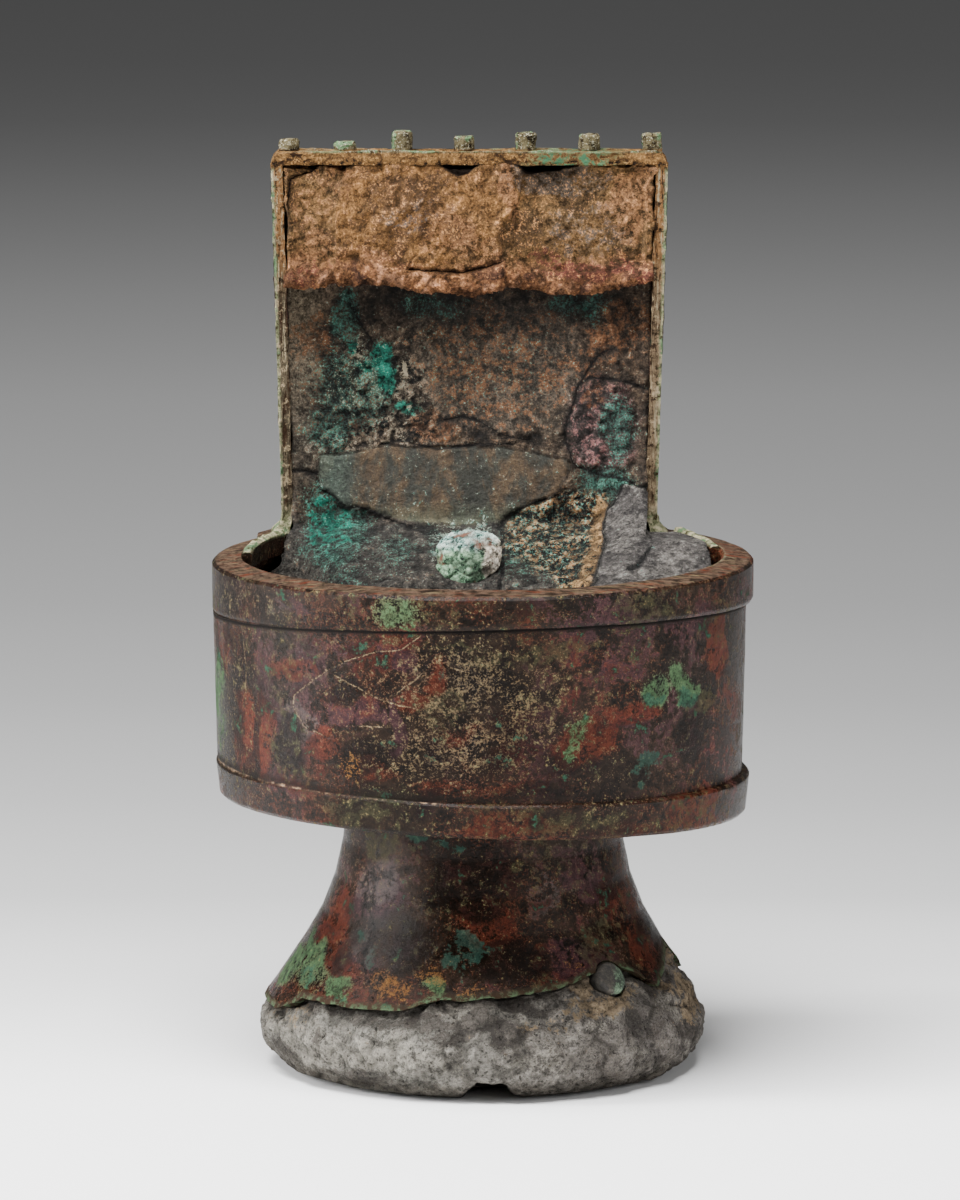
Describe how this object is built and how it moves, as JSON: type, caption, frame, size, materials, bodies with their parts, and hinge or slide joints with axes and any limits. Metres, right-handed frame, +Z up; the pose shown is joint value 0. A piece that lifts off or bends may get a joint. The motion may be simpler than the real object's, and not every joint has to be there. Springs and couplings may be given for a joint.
{
  "type": "bronze incense burner",
  "caption": "Ancient cast bronze incense burner: banded drum-shaped cup on a flaring foot with a tall rear panel, clay casting core exposed in panel and foot.",
  "frame": {"origin": "on the ground under the middle of the drum", "axes": "+Z up; the viewer stands on the -Y side; the panel stands on the +Y side of the cup"},
  "size_m": [0.1606, 0.1606, 0.2748],
  "materials": {
    "patinated_bronze": "satin dark red-brown patina with green corrosion",
    "tan_clay": "matt fired clay, orange-brown",
    "dark_clay": "matt burnt clay, dark, with green copper salts",
    "grey_clay": "matt grey gritty clay",
    "green_corrosion": "chalky pale green corrosion",
    "brown_metal": "dull brown metal"
  },
  "bodies": {
    "root": {"bronze_body": "patinated_bronze", "upper_core_slab": "tan_clay", "core_fill": "dark_clay", "tenon": "green_corrosion", "foot_core": "grey_clay", "foot_plug": "brown_metal"}
  },
  "joints": []
}
